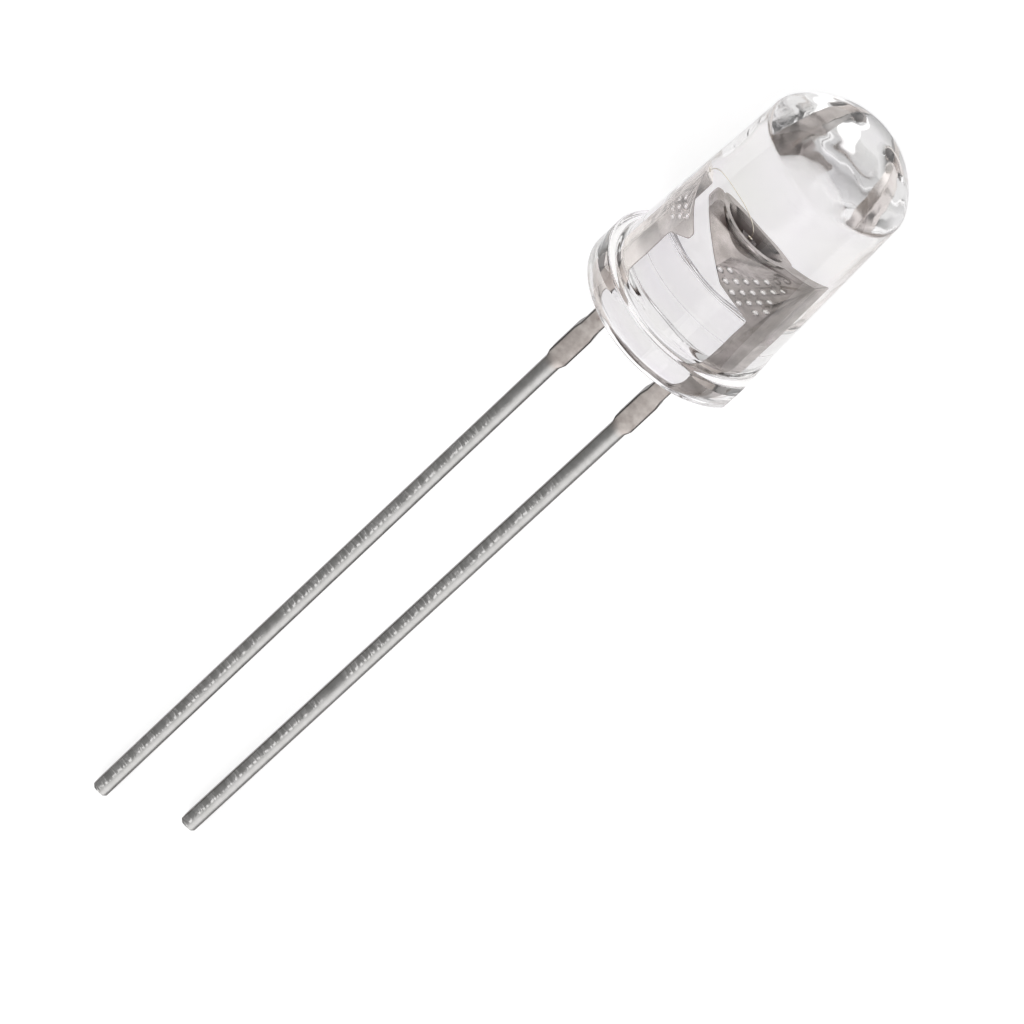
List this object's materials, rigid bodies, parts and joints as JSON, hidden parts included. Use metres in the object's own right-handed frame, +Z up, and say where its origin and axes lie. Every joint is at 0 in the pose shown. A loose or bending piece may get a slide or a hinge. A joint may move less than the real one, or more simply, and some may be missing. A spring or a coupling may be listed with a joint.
{
  "type": "through hole led",
  "caption": "Clear round-topped light emitting diode with a flanged epoxy lens cast round a stamped lead frame, and two straight leads of unequal length for soldering through a board.",
  "frame": {"origin": "centre of the seat, the flat underside of the flange, on the lens axis", "axes": "+Z up from the surface the lamp lies on, +X along that surface towards the dome, -Y towards the cathode; the lens axis rises towards the dome"},
  "size_m": [0.0332, 0.0056, 0.006],
  "materials": {
    "clear_epoxy": "water-clear cast epoxy, glossy",
    "tinned_steel": "satin tin plate over mild steel",
    "silver_epoxy": "silver-filled adhesive",
    "semiconductor": "sawn crystal with a bond pad",
    "gold_wire": "bare gold wire"
  },
  "bodies": {
    "root": {"lens": "clear_epoxy", "anode_lead": "tinned_steel", "cathode_lead": "tinned_steel", "die_attach": "silver_epoxy", "die": "semiconductor", "bond_wire": "gold_wire"}
  },
  "joints": []
}
